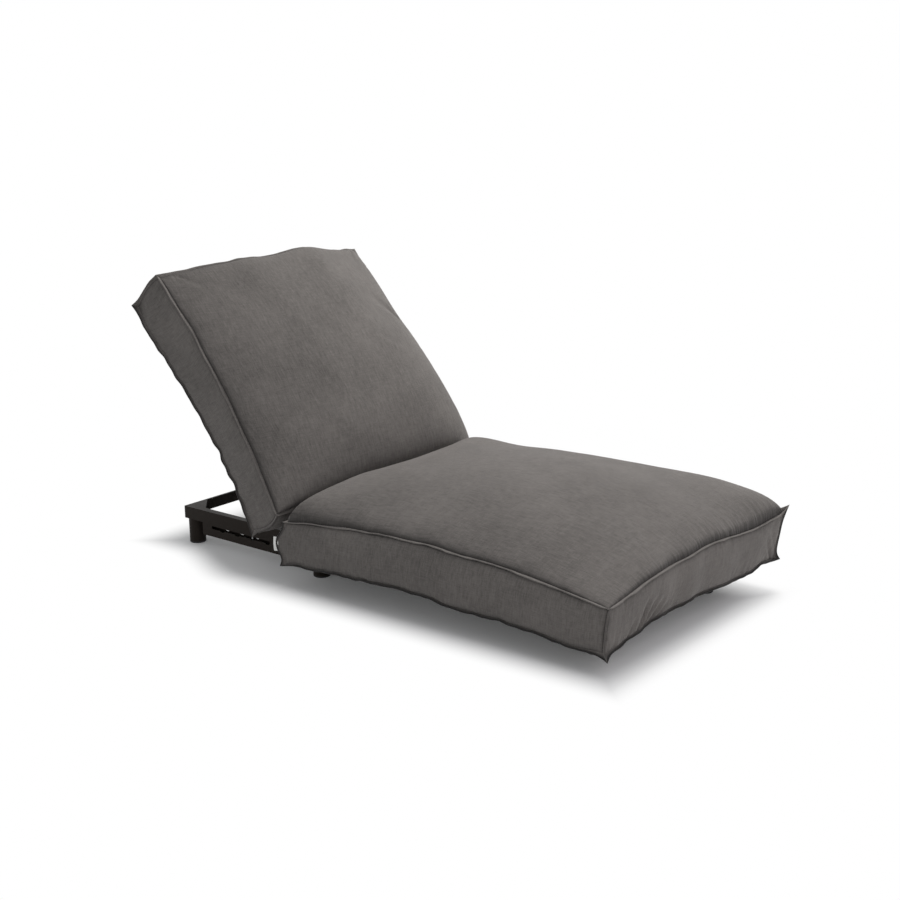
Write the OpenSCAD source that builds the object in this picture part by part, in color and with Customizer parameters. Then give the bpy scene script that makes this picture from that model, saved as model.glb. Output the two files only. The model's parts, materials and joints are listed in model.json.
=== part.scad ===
// Low lounger with a tilting back.
// A powder coated frame stands on six short round legs. Its deep side rails carry notched
// slots, in which the rod of a short strut props up the back. Two thick box cushions with
// flanged seams lie on slats, and hook strips hold them there.
// X is the width, Y runs from the foot end to the head end, Z is up, and the floor is at 0.

/* [Base frame] */
// Width over the two side rails
frame_w = 655; // [600:1:720]
// Length over the two end bars
frame_len = 1685; // [1600:1:1800]
// Height of the rail tops above the floor
rail_top = 128; // [122:1:136]
// Depth of a side rail
rail_h = 85; // [80:1:90]
// Thickness of a side rail
rail_t = 25; // [22:1:28]
// Wall of a side rail
rail_wall = 2.5; // [2:0.25:3]
// Depth of rail left above each leg
web_h = 42; // [38:1:46]
// Thickness of the bars that close the two ends
bar_t = 8; // [6:1:12]
// Thickness of the corner plates and leg plates
plate_t = 5; // [4:0.5:7]
// Length of a corner plate's legs, from the outer corner
gusset_len = 104; // [96:1:120]

/* [Legs] */
// Diameter of a leg
leg_d = 55; // [50:1:58]
// Wall of a leg tube
leg_wall = 3; // [2:0.5:4]
// Height of the glide under a leg
glide_h = 6; // [4:1:9]
// Distance of the middle legs from the head end
mid_leg_from_head = 616; // [590:1:640]

/* [Deck] */
// Number of slats under the seat cushion
slat_count = 8; // [6:1:9]
// Width of a seat slat
slat_w = 60; // [40:1:70]
// Depth of a seat slat
slat_h = 20; // [16:1:24]
// Wall of the slat tubes and back tubes
tube_wall = 2; // [1.5:0.25:2.5]
// Width of a hook strip
strip_w = 50; // [30:1:60]
// Thickness of a hook strip
strip_t = 2; // [1:0.5:3]

/* [Back frame] */
// Angle of the back above level, as shown
back_angle = 53.7; // [50:0.1:54.5]
// Distance of the back hinge from the head end
hinge_from_head = 474; // [460:1:490]
// Height of the back hinge and of the rod in its slots
hinge_z = 75; // [70:1:78]
// Length of a back side tube
back_frame_len = 796; // [700:1:840]
// Width of a back tube, across
back_tube_w = 25; // [20:1:28]
// Depth of a back tube
back_tube_h = 30; // [26:1:32]
// Gap between a side rail and the back frame
back_gap = 10; // [8:0.5:12]
// Number of slats on the back
back_slat_count = 6; // [4:1:7]
// Width of a back slat
back_slat_w = 60; // [40:1:70]
// Thickness of a back slat
back_slat_t = 5; // [4:0.5:6]

/* [Strut and slots] */
// Length of a strut arm, pivot to rod, and of the pivot from the hinge
strut_len = 173; // [168:0.5:178]
// Diameter of the strut rod
rod_d = 9; // [8:0.5:10]
// Spacing of the notches in a slot
notch_pitch = 72; // [66:0.5:74]
// Notches beyond the one shown, towards the head end
notches_down = 2; // [1:1:2]
// Notches beyond the one shown, towards the foot end
notches_up = 1; // [0:1:1]
// Depth of a notch
notch_depth = 4; // [2:0.5:5]
// Length of a slot past its last notch, for the back lying nearly flat
slot_flat_len = 50; // [44:0.5:54]
// Width of a strut arm
arm_w = 22; // [20:1:24]
// Thickness of a strut arm
arm_t = 8; // [6:0.5:9]

/* [Cushions] */
// Width of both cushions, without their flanged seams
cushion_w = 946; // [880:1:1000]
// Distance of the seat cushion's underside from the back hinge
seat_gap = 158; // [150:1:170]
// Overhang of the seat cushion past the foot end
seat_over = 125; // [110:1:160]
// Height of the seat cushion's top seam at its corners
seat_edge_h = 98; // [85:1:105]
// Length of the back cushion
back_len = 855; // [780:1:900]
// Height of the back cushion's top seam at its corners
back_edge_h = 149; // [130:1:152]
// Distance of the back cushion from the hinge, along the back
back_start = 52; // [48:1:62]
// Width of a flanged seam
flange_w = 12; // [8:1:13]
// Thickness of a flanged seam
flange_t = 4; // [3:0.5:5]

/* [Hidden] */
$fn = 48;
frame_color = "#1f1c1a";
steel_color = "#8d8d8c";
plastic_color = "#141414";
strip_color = "#232323";
fabric_color = "#5b5550";
label_color = "#efefec";

// Running clearance of a pin in its bush
run_gap = 0.05;
// Gap between pieces that move past each other, and under the cushions
soft_gap = 0.3;
// Play of a bolt in a plain hole
bolt_play = 0.2;
// Overrun of every cut
over = 1;

// Base frame
half_w = frame_w / 2;
inner_half = half_w - rail_t;
rail_low = rail_top - rail_h;
web_z = rail_top - web_h;
leg_r = leg_d / 2;
leg_clear = 0.5;
leg_inset = leg_r + leg_clear;
leg_x = half_w - leg_inset;
notch_margin = 6;
notch_past_len = 32.5;
end_notch = leg_inset + leg_r + notch_past_len;
mid_notch = leg_d + 2 * notch_margin;
cross_h = web_h - plate_t;
gusset_leg = gusset_len - rail_t - bar_t;
cross_tube_w = 25;
cross_tube_h = 40;
cross_tube_lift = 12;
cross_tube_back = 45;
cross_shares = [0.14, 1];

// Lengths along Y, with the middle of the whole lounger at 0
back_flange_reach = back_start + back_len + flange_w;
deck_n = rail_top - hinge_z;
cushion_n = deck_n + strip_t + soft_gap;
back_droop_h = 8;
back_reach = back_flange_reach * cos(back_angle) - (cushion_n - back_droop_h) * sin(back_angle);
foot_y = (seat_over + flange_w - (frame_len - hinge_from_head + back_reach)) / 2;
head_y = foot_y + frame_len;
hinge_y = head_y - hinge_from_head;
mid_y = head_y - mid_leg_from_head;
seat_foot_y = foot_y - seat_over;
seat_len = hinge_y - seat_gap - seat_foot_y;
leg_places = [
    [-leg_x, head_y - leg_inset], [leg_x, head_y - leg_inset],
    [-leg_x, mid_y], [leg_x, mid_y],
    [-leg_x, foot_y + leg_inset], [leg_x, foot_y + leg_inset]
];

// Leg fixings
leg_bolt_r = 4;
leg_bolt_off = 13;
leg_bolt_head_h = 5.3;
leg_bolt_head_r = 7.5;
leg_bolt_len = 18;
leg_top_t = 6;
glide_plug_h = 12;
glide_chamfer = 1.5;
mid_plate_x = 50;
mid_plate_y = 66;

// Deck
swing_room_len = 62;
deck_first_y = foot_y + gusset_len + slat_w / 2;
deck_last_y = hinge_y - swing_room_len - slat_w / 2;
slat_step = (deck_last_y - deck_first_y) / (slat_count - 1);
strip_len = 480;
seat_strip_slats = [0, floor(slat_count / 2), slat_count - 1];

// Back frame, in the back's own plane: u runs up along the back from the hinge, n away from it
tube_out = inner_half - back_gap;
tube_in = tube_out - back_tube_w;
tube_n1 = deck_n - back_slat_t;
tube_n0 = tube_n1 - back_tube_h;
tube_u0 = 24;
back_slat_offset = 16;
back_slat_first = tube_u0 + back_slat_offset + back_slat_w / 2;
back_slat_last = tube_u0 + back_frame_len - back_slat_w / 2;
back_slat_step = (back_slat_last - back_slat_first) / (back_slat_count - 1);
back_strip_slats = [0, floor(back_slat_count / 2), back_slat_count - 1];
cap_t = 3;
cap_plug_len = 12;

// Hinge
hinge_r = 5;
hinge_sleeve_r = 9;
hinge_plate_t = 5;
hinge_plate_r = 14;
hinge_plate_reach = 80;
hinge_plate_edge_w = 2;
bush_r = 7;
bush_flange_r = 11;
bush_tail = 2;
hinge_head_r = 9;
hinge_head_h = 4;
hinge_nut_r = 9;
hinge_nut_h = 7;
bush_in = tube_out - bush_tail;

// Strut: its pivot on the back is as far from the hinge as from the rod, so the rod keeps
// the height of the hinge as the back moves, and the strut turns by twice the back's angle
pivot_h = 34;
pivot_u = sqrt(strut_len * strut_len - pivot_h * pivot_h);
pivot_lift = atan(pivot_h / pivot_u);
strut_angle = back_angle + pivot_lift;
rod_reach = 2 * strut_len * cos(strut_angle);
rod_r = rod_d / 2;
pivot_r = 4;
pivot_bush_r = 6;
pivot_head_r = 7.5;
pivot_head_h = 3.5;
pivot_nut_h = 7;
washer_t = 2;
washer_r = 9;
arm_end_r = 12;
arm_out = tube_in - washer_t;
arm_in = arm_out - arm_t;
brace_t = 4;
brace_w = 25;
brace_share = 0.45;
spigot_r = 3;
rod_end_gap = 2;

// Slot in a side rail
slot_gap = 0.4;
slot_head_h = 0.9;
slot_end_len = 12;
slot_low = hinge_z - rod_r - slot_gap;
slot_high = hinge_z + rod_r + slot_head_h;
wave_r = notch_pitch / 4;

// Cushion forms
rest_margin = 5;
rest_half = half_w + rest_margin;
flange_rise_share = 0.35;
side_power = 6;
cells_x = 14;
cells_y = 18;
// Share of the half width at which the underside leaves the frame, on a grid line
knee_share = spread(cells_x - 4, cells_x);
// How far the top seam stays short of the underside at the rear
seat_lean_len = 11;
// How far the underside hangs below the deck at the sides, and past the foot end
seat_droop_h = 44;
seat_foot_droop_h = 26;
// Rise of the top seams at the middle of a side, of the foot and of the rear
seat_side_arch_h = 31;
seat_foot_arch_h = 19;
seat_rear_arch_h = 46;
back_side_arch_h = 15;
back_foot_arch_h = 2;
back_rear_arch_h = 44;
// Crown of the top panel above its seams
seat_crown_h = 92;
back_crown_h = 92;
// How far the seams are drawn in at the middle of a side and of an end
seat_side_pull_w = 20;
seat_end_pull_w = 18;
back_side_pull_w = 20;
back_end_pull_w = 16;
// How much narrower the rear is on each side
seat_taper_w = 0;
back_taper_w = 20;
// Bulge of the side, foot and rear panels, and of the rear's upright seams
seat_side_bulge_w = 11;
seat_foot_bulge_w = 10;
seat_rear_bulge_w = 24;
seat_corner_bulge_w = 22;
back_side_bulge_w = 8;
back_foot_bulge_w = 26;
back_rear_bulge_w = 18;
back_corner_bulge_w = 0;
// Steepness of the crown across and along, and how it leans towards the rear
crown_power = 0.36;
crown_end_power = 0.45;
seat_lean_share = -0.06;
back_lean_share = -0.3;

// Places in a cushion's form
SIDE_ARCH = 0;
FOOT_ARCH = 1;
REAR_ARCH = 2;
CROWN = 3;
SIDE_PULL = 4;
END_PULL = 5;
TAPER = 6;
SIDE_BULGE = 7;
FOOT_BULGE = 8;
REAR_BULGE = 9;
CORNER_BULGE = 10;
FOOT_DROOP = 11;
LEAN = 12;
seat_form = [
    seat_side_arch_h, seat_foot_arch_h, seat_rear_arch_h, seat_crown_h,
    seat_side_pull_w, seat_end_pull_w, seat_taper_w,
    seat_side_bulge_w, seat_foot_bulge_w, seat_rear_bulge_w, seat_corner_bulge_w,
    seat_foot_droop_h, seat_lean_share
];
back_form = [
    back_side_arch_h, back_foot_arch_h, back_rear_arch_h, back_crown_h,
    back_side_pull_w, back_end_pull_w, back_taper_w,
    back_side_bulge_w, back_foot_bulge_w, back_rear_bulge_w, back_corner_bulge_w,
    0, back_lean_share
];

// Label
label_h = 50;
label_len = 30;
label_t = 0.8;
label_gap = 1.4;
label_turn = 18;
label_z = 131;
label_sewn_len = 8;

// Placing and shared shapes

module along_x(x0, x1) {
    translate([x0, 0, 0])
        rotate([90, 0, 90])
            linear_extrude(height = x1 - x0)
                children();
}

module both_sides() {
    children();
    mirror([1, 0, 0])
        children();
}

module rod_x(x0, x1, r) {
    translate([x0, 0, 0])
        rotate([0, 90, 0])
            cylinder(r = r, h = x1 - x0);
}

module nut_x(x0, x1, r, bore_r) {
    difference() {
        translate([x0, 0, 0])
            rotate([0, 90, 0])
                cylinder(r = r, h = x1 - x0, $fn = 6);
        rod_x(x0 - over, x1 + over, bore_r);
    }
}

module on_back() {
    translate([0, hinge_y, hinge_z])
        rotate([back_angle, 0, 0])
            children();
}

module on_strut() {
    translate([0, hinge_y + strut_len * cos(strut_angle), hinge_z + strut_len * sin(strut_angle)])
        rotate([-strut_angle, 0, 0])
            children();
}

// Base frame

function rail_outline(inset) =
    let (
        lo = rail_low + inset,
        web = web_z + inset,
        top = rail_top - inset,
        m0 = mid_y - mid_notch / 2 - inset,
        m1 = mid_y + mid_notch / 2 + inset,
        f1 = foot_y + end_notch + inset,
        h0 = head_y - end_notch - inset
    )
    [
        [foot_y + inset, top], [foot_y + inset, web], [f1, web], [f1, lo],
        [m0, lo], [m0, web], [m1, web], [m1, lo],
        [h0, lo], [h0, web], [head_y - inset, web], [head_y - inset, top]
    ];

// A round wave on the edge of a slot, cut off where it reaches into the slot
module slot_wave(y, edge_z, depth) {
    intersection() {
        translate([y, edge_z + sign(depth) * (abs(depth) - wave_r)])
            circle(r = wave_r);
        translate([y - wave_r, min(edge_z, edge_z + depth) - (depth > 0 ? slot_gap : 0)])
            square([2 * wave_r, abs(depth) + slot_gap]);
    }
}

// A slot with notches below, through both walls of the rail
module slot_cut() {
    rest_y = hinge_y + rod_reach;
    slot_y0 = rest_y - notches_up * notch_pitch - slot_end_len;
    slot_y1 = rest_y + notches_down * notch_pitch + slot_flat_len;
    along_x(inner_half - over, half_w + over)
        union() {
            translate([slot_y0, slot_low])
                square([slot_y1 - slot_y0, slot_high - slot_low]);
            for (k = [-notches_up : notches_down])
                slot_wave(rest_y + k * notch_pitch, slot_low, -notch_depth);
        }
}

module side_rail() {
    color(frame_color)
        difference() {
            union() {
                difference() {
                    along_x(inner_half, half_w)
                        polygon(rail_outline(0));
                    along_x(inner_half + rail_wall, half_w - rail_wall)
                        polygon(rail_outline(rail_wall));
                }
                translate([0, hinge_y, hinge_z])
                    rod_x(inner_half + rail_wall / 2, half_w - rail_wall / 2, hinge_sleeve_r);
            }
            translate([0, hinge_y, hinge_z])
                rod_x(inner_half - over, half_w + over, hinge_r + run_gap);
            slot_cut();
        }
}

module side_rail_right() {
    side_rail();
}

module side_rail_left() {
    mirror([1, 0, 0])
        side_rail();
}

module end_bar(y0) {
    color(frame_color)
        translate([-inner_half, y0, rail_top - cross_h])
            cube([2 * inner_half, bar_t, cross_h]);
}

module head_bar() {
    end_bar(head_y - bar_t);
}

module foot_bar() {
    end_bar(foot_y);
}

module cross_tubes() {
    run = mid_y - cross_tube_back - foot_y;
    color(frame_color)
        for (share = cross_shares)
            translate([-inner_half, foot_y + share * run - cross_tube_w, rail_low + cross_tube_lift])
                difference() {
                    cube([2 * inner_half, cross_tube_w, cross_tube_h]);
                    translate([-over, tube_wall, tube_wall])
                        cube([
                            2 * inner_half + 2 * over,
                            cross_tube_w - 2 * tube_wall,
                            cross_tube_h - 2 * tube_wall
                        ]);
                }
}

module corner_triangle(head) {
    y0 = head ? head_y - bar_t : foot_y + bar_t;
    way = head ? -1 : 1;
    polygon([
        [inner_half, y0],
        [inner_half - gusset_leg, y0],
        [inner_half, y0 + way * gusset_leg]
    ]);
}

module corner_gussets() {
    color(frame_color)
        both_sides()
            for (head = [false, true])
                translate([0, 0, rail_top - plate_t])
                    linear_extrude(height = plate_t)
                        corner_triangle(head);
}

module leg_bolt_hole(x, y) {
    translate([x, y, web_z - over])
        cylinder(r = leg_bolt_r + bolt_play, h = plate_t + 2 * over);
}

module corner_leg_plates() {
    color(frame_color)
        both_sides()
            for (head = [false, true])
                difference() {
                    translate([0, 0, web_z])
                        linear_extrude(height = plate_t)
                            corner_triangle(head);
                    leg_bolt_hole(
                        leg_x - leg_bolt_off,
                        head ? head_y - leg_inset - leg_bolt_off : foot_y + leg_inset + leg_bolt_off
                    );
                }
}

module mid_leg_plates() {
    color(frame_color)
        both_sides()
            difference() {
                translate([inner_half - mid_plate_x, mid_y - mid_plate_y / 2, web_z])
                    cube([mid_plate_x, mid_plate_y, plate_t]);
                leg_bolt_hole(leg_x - leg_bolt_off, mid_y);
            }
}

// Place of the bolt of the leg at a place, always on the inner side of the leg
function bolt_place(p) = [
    p[0] - sign(p[0]) * leg_bolt_off,
    p[1] + (p[1] > mid_y ? -leg_bolt_off : p[1] < mid_y ? leg_bolt_off : 0)
];

module legs() {
    color(frame_color)
        for (p = leg_places)
            difference() {
                translate([p[0], p[1], glide_h])
                    cylinder(r = leg_r, h = web_z - glide_h);
                translate([p[0], p[1], glide_h - over])
                    cylinder(r = leg_r - leg_wall, h = web_z - glide_h - leg_top_t + over);
                translate([bolt_place(p)[0], bolt_place(p)[1], web_z - leg_top_t - over])
                    cylinder(r = leg_bolt_r, h = leg_top_t + 2 * over);
            }
}

module leg_glides() {
    color(plastic_color)
        for (p = leg_places)
            translate([p[0], p[1], 0]) {
                cylinder(r1 = leg_r - glide_chamfer, r2 = leg_r, h = glide_chamfer);
                translate([0, 0, glide_chamfer])
                    cylinder(r = leg_r, h = glide_h - glide_chamfer);
                translate([0, 0, glide_h])
                    cylinder(r = leg_r - leg_wall - run_gap, h = glide_plug_h);
            }
}

module leg_bolts() {
    color(steel_color)
        for (p = leg_places)
            translate([bolt_place(p)[0], bolt_place(p)[1], web_z + plate_t]) {
                cylinder(r = leg_bolt_head_r, h = leg_bolt_head_h, $fn = 6);
                translate([0, 0, -leg_bolt_len])
                    cylinder(r = leg_bolt_r - run_gap, h = leg_bolt_len);
            }
}

// Deck

module seat_slats() {
    color(frame_color)
        for (k = [0 : slat_count - 1])
            translate([-inner_half, deck_first_y + k * slat_step - slat_w / 2, rail_top - slat_h])
                difference() {
                    cube([2 * inner_half, slat_w, slat_h]);
                    translate([-over, tube_wall, tube_wall])
                        cube([
                            2 * inner_half + 2 * over,
                            slat_w - 2 * tube_wall,
                            slat_h - 2 * tube_wall
                        ]);
                }
}

module seat_hook_strips() {
    color(strip_color)
        for (k = seat_strip_slats)
            translate([-strip_len / 2, deck_first_y + k * slat_step - strip_w / 2, rail_top])
                cube([strip_len, strip_w, strip_t]);
}

// Hinge

module hinge_bolts() {
    color(steel_color)
        both_sides()
            translate([0, hinge_y, hinge_z]) {
                rod_x(bush_in - soft_gap - hinge_nut_h - over, half_w, hinge_r);
                rod_x(half_w, half_w + hinge_head_h, hinge_head_r);
            }
}

module hinge_nuts() {
    color(steel_color)
        both_sides()
            translate([0, hinge_y, hinge_z])
                nut_x(bush_in - soft_gap - hinge_nut_h, bush_in - soft_gap, hinge_nut_r, hinge_r);
}

module hinge_plates() {
    top_n = tube_n1 - hinge_plate_edge_w;
    low_n = tube_n0 + hinge_plate_edge_w;
    color(frame_color)
        on_back()
            both_sides()
                difference() {
                    along_x(tube_out, tube_out + hinge_plate_t)
                        union() {
                            circle(r = hinge_plate_r);
                            polygon([
                                [-hinge_plate_r, 0],
                                [-hinge_plate_r, low_n],
                                [tube_u0 / 4, top_n],
                                [hinge_plate_reach, top_n],
                                [hinge_plate_reach, low_n],
                                [tube_u0, -hinge_plate_r],
                                [0, -hinge_plate_r]
                            ]);
                        }
                    rod_x(tube_out - over, tube_out + hinge_plate_t + over, bush_r);
                }
}

module hinge_bushes() {
    flange_x = tube_out + hinge_plate_t;
    color(plastic_color)
        on_back()
            both_sides()
                difference() {
                    union() {
                        rod_x(bush_in, flange_x, bush_r);
                        rod_x(flange_x, inner_half - soft_gap, bush_flange_r);
                    }
                    rod_x(bush_in - over, inner_half + over, hinge_r + run_gap);
                }
}

// Back frame

module tube_u(x0, x1, u0, u1) {
    translate([x0, u0, tube_n0])
        difference() {
            cube([x1 - x0, u1 - u0, back_tube_h]);
            translate([tube_wall, -over, tube_wall])
                cube([
                    x1 - x0 - 2 * tube_wall,
                    u1 - u0 + 2 * over,
                    back_tube_h - 2 * tube_wall
                ]);
        }
}

module back_tube() {
    color(frame_color)
        on_back()
            difference() {
                tube_u(tube_in, tube_out, tube_u0, tube_u0 + back_frame_len);
                translate([0, pivot_u, pivot_h])
                    rod_x(tube_in - over, tube_out + over, pivot_r + run_gap);
            }
}

module back_tube_right() {
    back_tube();
}

module back_tube_left() {
    mirror([1, 0, 0])
        back_tube();
}

module back_cross(u0) {
    color(frame_color)
        on_back()
            translate([-tube_in, u0, tube_n0])
                difference() {
                    cube([2 * tube_in, back_tube_w, back_tube_h]);
                    translate([-over, tube_wall, tube_wall])
                        cube([
                            2 * tube_in + 2 * over,
                            back_tube_w - 2 * tube_wall,
                            back_tube_h - 2 * tube_wall
                        ]);
                }
}

module back_top_tube() {
    back_cross(tube_u0 + back_frame_len - back_tube_w);
}

module back_bottom_tube() {
    back_cross(tube_u0);
}

module tube_cap(u0, way) {
    inset = tube_wall + run_gap;
    translate([tube_in, way > 0 ? u0 : u0 - cap_t, tube_n0])
        cube([back_tube_w, cap_t, back_tube_h]);
    translate([tube_in + inset, way > 0 ? u0 - cap_plug_len : u0, tube_n0 + inset])
        cube([back_tube_w - 2 * inset, cap_plug_len, back_tube_h - 2 * inset]);
}

module tube_caps() {
    color(plastic_color)
        on_back()
            both_sides() {
                tube_cap(tube_u0, -1);
                tube_cap(tube_u0 + back_frame_len, 1);
            }
}

module back_slats() {
    color(frame_color)
        on_back()
            for (k = [0 : back_slat_count - 1])
                translate([-tube_out, back_slat_first + k * back_slat_step - back_slat_w / 2, tube_n1])
                    cube([2 * tube_out, back_slat_w, back_slat_t]);
}

module back_hook_strips() {
    color(strip_color)
        on_back()
            for (k = back_strip_slats)
                translate([-strip_len / 2, back_slat_first + k * back_slat_step - strip_w / 2, deck_n])
                    cube([strip_len, strip_w, strip_t]);
}

// Strut pivots, on the back

module at_pivot() {
    on_back()
        both_sides()
            translate([0, pivot_u, pivot_h])
                children();
}

module pivot_bolts() {
    color(steel_color)
        at_pivot() {
            rod_x(arm_in - soft_gap - pivot_nut_h - over, tube_out, pivot_r);
            rod_x(tube_out, tube_out + pivot_head_h, pivot_head_r);
        }
}

module pivot_nuts() {
    color(steel_color)
        at_pivot()
            nut_x(arm_in - soft_gap - pivot_nut_h, arm_in - soft_gap, pivot_head_r, pivot_r);
}

module pivot_washers() {
    color(steel_color)
        at_pivot()
            difference() {
                rod_x(arm_out + soft_gap, tube_in, washer_r);
                rod_x(arm_out, tube_in + over, pivot_r + run_gap);
            }
}

// Strut

module strut_arm() {
    color(frame_color)
        on_strut()
            difference() {
                along_x(arm_in, arm_out)
                    union() {
                        circle(r = arm_end_r);
                        translate([strut_len, 0])
                            circle(r = arm_end_r);
                        translate([0, -arm_w / 2])
                            square([strut_len, arm_w]);
                    }
                rod_x(arm_in - over, arm_out + over, pivot_bush_r);
                translate([0, strut_len, 0])
                    rod_x(arm_in - over, arm_out + over, rod_r);
            }
}

module strut_arm_right() {
    strut_arm();
}

module strut_arm_left() {
    mirror([1, 0, 0])
        strut_arm();
}

module strut_brace() {
    color(frame_color)
        on_strut()
            translate([-arm_in, brace_share * strut_len, -brace_w / 2])
                cube([2 * arm_in, brace_t, brace_w]);
}

module strut_rod() {
    color(steel_color)
        on_strut()
            translate([0, strut_len, 0]) {
                rod_x(-inner_half + over, inner_half - over, rod_r);
                rod_x(-half_w + rod_end_gap, half_w - rod_end_gap, spigot_r);
            }
}

module rod_sleeves() {
    color(plastic_color)
        on_strut()
            both_sides()
                translate([0, strut_len, 0])
                    difference() {
                        rod_x(inner_half - over, half_w - rod_end_gap, rod_r);
                        rod_x(inner_half - 2 * over, half_w, spigot_r);
                    }
}

module pivot_bushes() {
    color(plastic_color)
        on_strut()
            both_sides()
                difference() {
                    rod_x(arm_in, arm_out, pivot_bush_r);
                    rod_x(arm_in - over, arm_out + over, pivot_r + run_gap);
                }
}

// Cushions
// A cushion lies with its underside at z = 0 and runs from y = 0 to its length. Grid cell
// steps are closer together near the seams, where the cover turns.

function spread(k, n) = sin(90 * (2 * k / n - 1));
function mix(a, b, t) = a + (b - a) * t;
function swell(s, power) = pow(max(0, 1 - s * s), power);
function half_width(r, w, pull, form) = w / 2 - pull * (1 - r * r) - form[TAPER] * (r + 1) / 2;

function top_point(s, r, w, l, lean, edge_h, form) =
    let (
        t = (r + 1) / 2,
        pull = form[END_PULL] * (1 - s * s),
        arch = form[SIDE_ARCH] * (1 - r * r) + mix(form[FOOT_ARCH], form[REAR_ARCH], t) * (1 - s * s),
        crown = form[CROWN] * swell(s, crown_power) * swell(r, crown_end_power) * (1 + form[LEAN] * r)
    )
    [
        s * half_width(r, w, form[SIDE_PULL], form),
        mix(pull, l - lean - pull, t),
        edge_h + arch + crown
    ];

function bottom_point(s, r, w, l, droop, form, free_l) =
    let (
        past = max(0, (abs(s) - knee_share) / (1 - knee_share)),
        outer = half_width(r, w, form[SIDE_PULL], form),
        x = abs(s) > knee_share ? sign(s) * mix(rest_half, outer, past) : s / knee_share * rest_half,
        pull = form[END_PULL] / 2 * (1 - s * s),
        y = mix(pull, l - pull, (r + 1) / 2),
        ahead = free_l > 0 ? max(0, (free_l - y) / free_l) : 0
    )
    [x, y, -max(droop * pow(past, 3 / 2), form[FOOT_DROOP] * pow(ahead, 3 / 2))];

// Grid indices along the edge of a panel, once round from its first corner
function rim() = concat(
    [for (i = [0 : cells_x - 1]) [i, 0]],
    [for (j = [0 : cells_y - 1]) [cells_x, j]],
    [for (i = [cells_x : -1 : 1]) [i, cells_y]],
    [for (j = [cells_y : -1 : 1]) [0, j]]
);
function rim_out(c) = [
    c[0] == 0 ? -1 : c[0] == cells_x ? 1 : 0,
    c[1] == 0 ? -1 : c[1] == cells_y ? 1 : 0
];
// Bulge of a panel behind a point of its rim: full in the middle, fading to its ends
function rim_bulge(c, form) =
    let (
        out = rim_out(c),
        t = abs(out[0]) == 1 ? spread(c[1], cells_y) : spread(c[0], cells_x),
        fade = pow(abs(t), side_power)
    )
    [
        out[0] * form[SIDE_BULGE] * (1 - fade),
        out[1] > 0 ? mix(form[REAR_BULGE], form[CORNER_BULGE], fade)
        : out[1] * form[FOOT_BULGE] * (1 - fade),
        0
    ];

// The underside rests on the frame, but hangs past its sides, and over free_l at the foot
module box_cushion(w, l, lean, edge_h, droop, form, free_l = 0) {
    cols = cells_x + 1;
    rows = cells_y + 1;
    cells = cols * rows;
    edge = rim();
    count = len(edge);
    top = [
        for (j = [0 : cells_y], i = [0 : cells_x])
            top_point(spread(i, cells_x), spread(j, cells_y), w, l, lean, edge_h, form)
    ];
    bottom = [
        for (j = [0 : cells_y], i = [0 : cells_x])
            bottom_point(spread(i, cells_x), spread(j, cells_y), w, l, droop, form, free_l)
    ];
    outs = [for (c = edge) rim_out(c)];
    upper = [for (c = edge) top[c[1] * cols + c[0]]];
    lower = [for (c = edge) bottom[c[1] * cols + c[0]]];
    reach = [for (o = outs) [o[0] * flange_w, o[1] * flange_w, 0]];
    rise = flange_w * flange_rise_share;
    bulges = [for (c = edge) rim_bulge(c, form)];
    // Rings from the top seam down to the bottom seam
    rings = [
        [for (k = [0 : count - 1]) upper[k] + reach[k] + [0, 0, rise]],
        [for (k = [0 : count - 1]) upper[k] + reach[k] + [0, 0, rise - flange_t]],
        [for (k = [0 : count - 1]) upper[k] - [0, 0, flange_t]],
        for (t = [0.25, 0.5, 0.75])
            [
                for (k = [0 : count - 1])
                    mix(upper[k] - [0, 0, flange_t], lower[k] + [0, 0, flange_t], t)
                    + 4 * t * (1 - t) * bulges[k]
            ],
        [for (k = [0 : count - 1]) lower[k] + [0, 0, flange_t]],
        [for (k = [0 : count - 1]) lower[k] + reach[k] + [0, 0, flange_t]],
        [for (k = [0 : count - 1]) lower[k] + reach[k]]
    ];
    // Index of a point on a level: the top panel's rim, the rings, the bottom panel's rim
    function level_index(level, k) =
        let (c = edge[k % count])
        level == 0 ? c[1] * cols + c[0]
        : level == len(rings) + 1 ? cells + c[1] * cols + c[0]
        : 2 * cells + (level - 1) * count + k % count;
    top_faces = [
        for (j = [0 : cells_y - 1], i = [0 : cells_x - 1], h = [0, 1])
            let (a = j * cols + i)
            h == 0 ? [a, a + cols, a + cols + 1] : [a, a + cols + 1, a + 1]
    ];
    bottom_faces = [
        for (f = top_faces)
            [cells + f[0], cells + f[2], cells + f[1]]
    ];
    band_faces = [
        for (level = [0 : len(rings)], k = [0 : count - 1], h = [0, 1])
            h == 0
                ? [level_index(level, k), level_index(level, k + 1), level_index(level + 1, k + 1)]
                : [level_index(level, k), level_index(level + 1, k + 1), level_index(level + 1, k)]
    ];
    polyhedron(
        points = concat(top, bottom, [for (ring = rings) each ring]),
        faces = concat(top_faces, bottom_faces, band_faces)
    );
}

module seat_cushion() {
    color(fabric_color)
        translate([0, seat_foot_y, rail_top + strip_t + soft_gap])
            box_cushion(
                cushion_w, seat_len, seat_lean_len, seat_edge_h, seat_droop_h, seat_form, seat_over
            );
}

module back_cushion() {
    color(fabric_color)
        on_back()
            translate([0, back_start, cushion_n])
                box_cushion(cushion_w, back_len, 0, back_edge_h, back_droop_h, back_form);
}

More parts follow.
